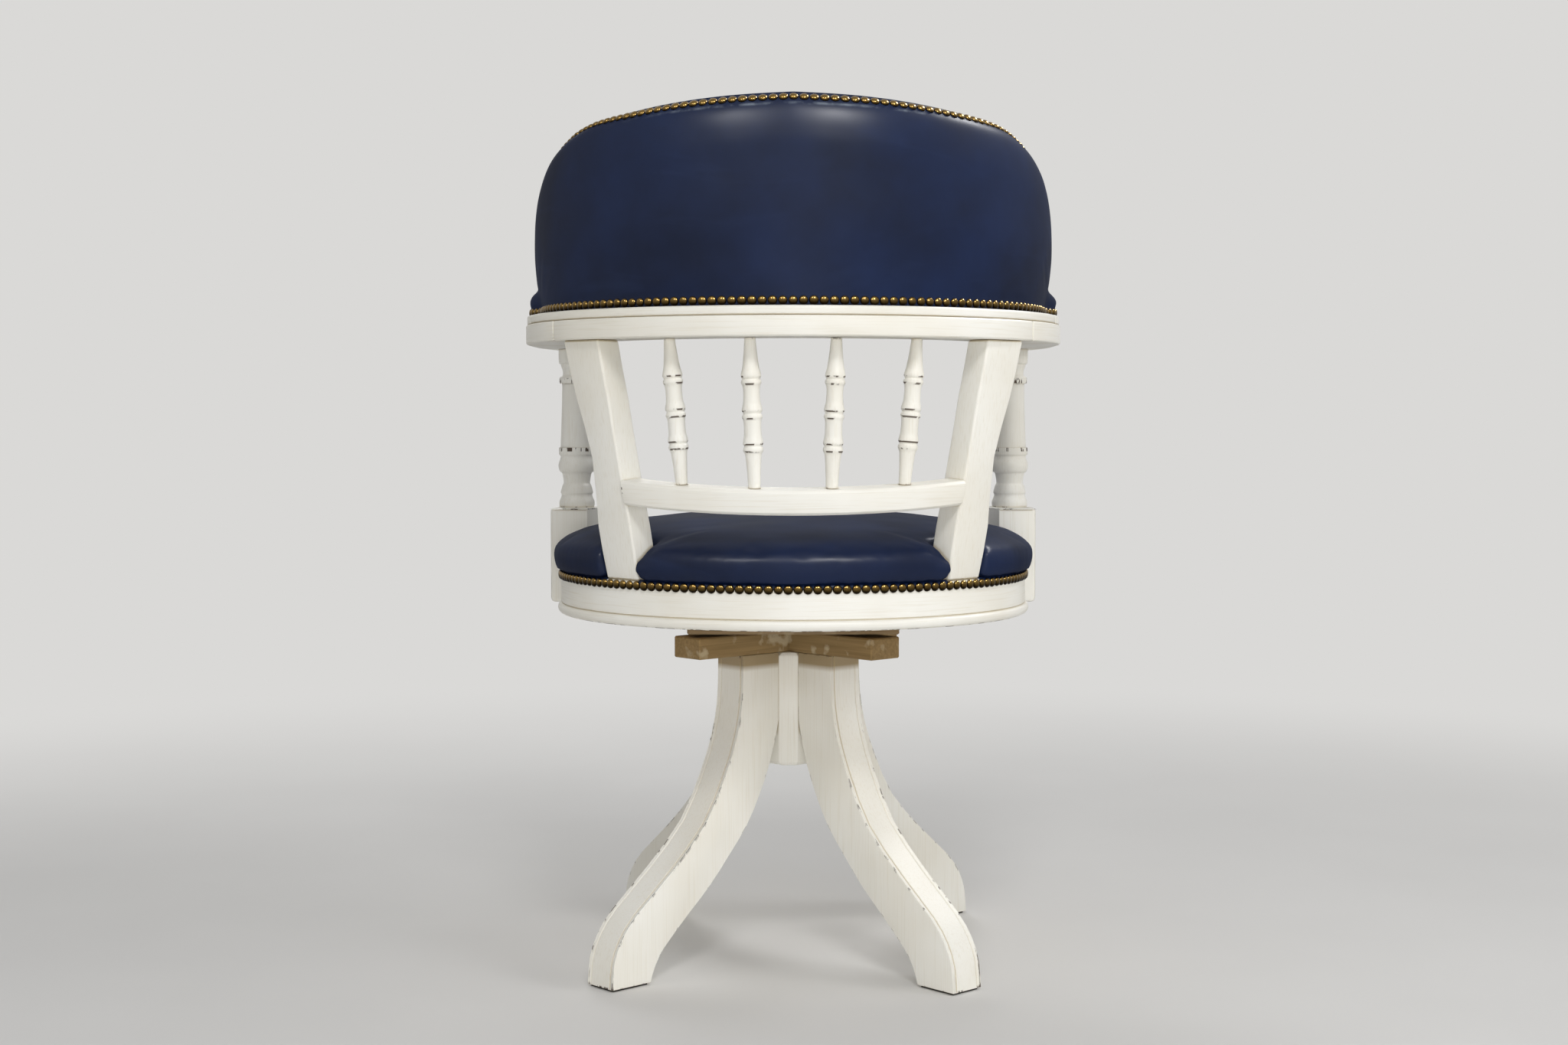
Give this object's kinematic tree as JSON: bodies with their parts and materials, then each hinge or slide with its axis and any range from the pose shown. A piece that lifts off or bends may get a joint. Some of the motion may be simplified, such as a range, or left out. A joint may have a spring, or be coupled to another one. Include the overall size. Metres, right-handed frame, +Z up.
{
  "type": "swivel armchair",
  "caption": "Tub-backed swivel armchair: painted wood, leather seat, back and arm pads edged with round nails, on a splayed wooden base.",
  "frame": {"origin": "on the floor, under the middle of the whole chair's box with the seat facing forward", "axes": "+Z up, the chair faces -Y and its back is towards +Y, +X is to the sitter's left"},
  "size_m": [0.6178, 0.585, 0.9563],
  "materials": {
    "painted_wood": "satin",
    "bare_wood": "matte",
    "plywood": "matte",
    "leather_over_foam": "satin",
    "antique_brass": "satin",
    "steel": "satin",
    "bronze": "satin",
    "felt": "matte"
  },
  "bodies": {
    "base": {"leg_1": "painted_wood", "leg_2": "painted_wood", "leg_3": "painted_wood", "leg_4": "painted_wood", "leg_tenon_1": "bare_wood", "leg_tenon_2": "bare_wood", "leg_tenon_3": "bare_wood", "leg_tenon_4": "bare_wood", "foot_pad_1": "felt", "foot_pad_2": "felt", "foot_pad_3": "felt", "foot_pad_4": "felt", "hub_column": "painted_wood", "cross_beam_a": "bare_wood", "cross_beam_b": "bare_wood", "cross_screw_1": "steel", "cross_screw_2": "steel", "cross_screw_3": "steel", "cross_screw_4": "steel", "upper_bush": "bronze", "lower_bush": "bronze", "thrust_washer": "bronze"},
    "seat": {"swivel_spindle": "steel", "spindle_washer": "steel", "spindle_nut": "steel", "swivel_plate": "steel", "mounting_board": "bare_wood", "seat_panel": "plywood", "seat_rim": "painted_wood", "seat_cushion": "leather_over_foam", "seat_nails_back": "antique_brass", "seat_nails_front": "antique_brass", "front_post_left": "painted_wood", "front_post_right": "painted_wood", "rear_post_left": "painted_wood", "rear_post_right": "painted_wood", "back_stretcher": "painted_wood", "back_spindle_1": "painted_wood", "back_spindle_2": "painted_wood", "back_spindle_3": "painted_wood", "back_spindle_4": "painted_wood", "rail_back": "painted_wood", "rail_arm_left": "painted_wood", "rail_arm_right": "painted_wood", "cap_back": "painted_wood", "cap_arm_left": "painted_wood", "cap_arm_right": "painted_wood", "back_shell": "plywood", "back_outer_panel": "leather_over_foam", "back_cushion": "leather_over_foam", "back_nails": "antique_brass", "ridge_nails": "antique_brass", "arm_pad_left": "leather_over_foam", "arm_pad_right": "leather_over_foam"}
  },
  "joints": [
    {"name": "seat_swivel", "type": "hinge", "parent": "base", "child": "seat", "pos_m": [0.004, -0.0145, 0.377], "axis": [0, 0, 1], "continuous": true}
  ]
}
